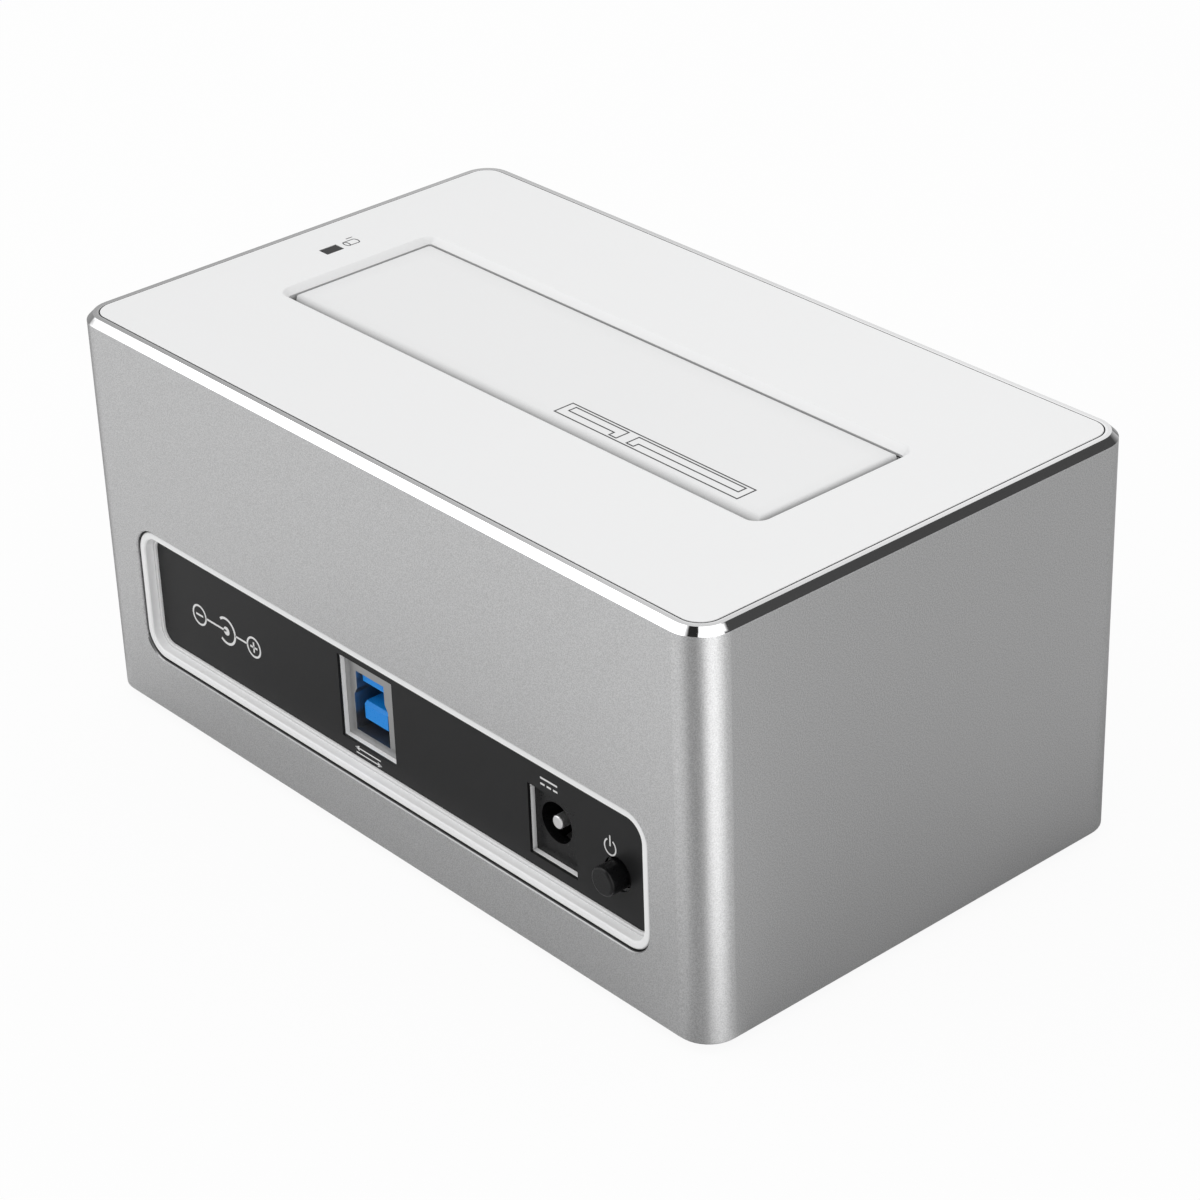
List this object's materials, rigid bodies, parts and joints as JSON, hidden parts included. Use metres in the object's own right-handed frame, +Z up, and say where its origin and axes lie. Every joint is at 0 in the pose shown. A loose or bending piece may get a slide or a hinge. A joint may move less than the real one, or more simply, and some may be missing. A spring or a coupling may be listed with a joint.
{
  "type": "hard drive docking station",
  "caption": "Desktop dock for one bare drive: aluminium sleeve, white top with a sprung slot flap, rear panel with USB socket, power jack and push button.",
  "frame": {"origin": "on the table, under the middle of the object", "axes": "+X along the long side towards the activity light, +Y out of the rear face with the sockets, +Z up"},
  "size_m": [0.14, 0.0837, 0.0663],
  "materials": {
    "shell_aluminium": "bead blasted",
    "white_plastic": "satin",
    "black_plastic": "satin",
    "black_panel": "satin",
    "smoked_plastic": "glossy",
    "blue_plastic": "satin",
    "grey_plastic": "satin",
    "steel": "plain",
    "socket_metal": "plated",
    "spring_steel": "drawn",
    "contact_metal": "plated",
    "board_laminate": "lacquered",
    "chip_plastic": "matte",
    "capacitor_metal": "satin",
    "led_resin": "clear",
    "foot_rubber": "matte"
  },
  "bodies": {
    "case": {"outer_shell": "shell_aluminium", "top_cover": "white_plastic", "hinge_rod": "steel", "bay_frame": "white_plastic", "light_pipe": "smoked_plastic", "activity_led": "led_resin", "rear_bezel": "white_plastic", "rear_panel": "black_panel", "switch_housing": "grey_plastic", "switch_spring": "spring_steel", "main_board": "board_laminate", "sata_receptacle": "black_plastic", "sata_contacts": "contact_metal", "usb_shell": "socket_metal", "usb_insulator": "blue_plastic", "usb_contacts": "contact_metal", "jack_body": "black_plastic", "jack_pin": "socket_metal", "jack_spring": "socket_metal", "bridge_chip": "chip_plastic", "flash_chip": "chip_plastic", "clock_crystal": "socket_metal", "power_inductors": "chip_plastic", "supply_regulators": "chip_plastic", "supply_capacitors": "capacitor_metal", "chip_resistors": "chip_plastic", "bottom_cover": "black_plastic", "case_screws": "steel", "frame_screws": "steel", "board_screws": "steel", "foot_front_left": "foot_rubber", "foot_front_right": "foot_rubber", "foot_rear_left": "foot_rubber", "foot_rear_right": "foot_rubber"},
    "flap": {"slot_flap": "white_plastic", "flap_spring_left": "spring_steel", "flap_spring_right": "spring_steel"},
    "button": {"power_button": "black_plastic", "switch_plunger": "black_plastic"}
  },
  "joints": [
    {"name": "flap_hinge", "type": "hinge", "parent": "case", "child": "flap", "pos_m": [0, -0.0152, 0.0638], "axis": [-1, 0, 0], "range_deg": [0, 88], "stiffness_Nm_per_rad": 0.002, "springref_deg": -57.3},
    {"name": "button_press", "type": "slide", "parent": "case", "child": "button", "axis": [0, -1, 0], "range_m": [0, 0.0015], "stiffness_N_per_m": 400, "springref_m": -0.001, "deforming": ["switch_spring"]}
  ]
}
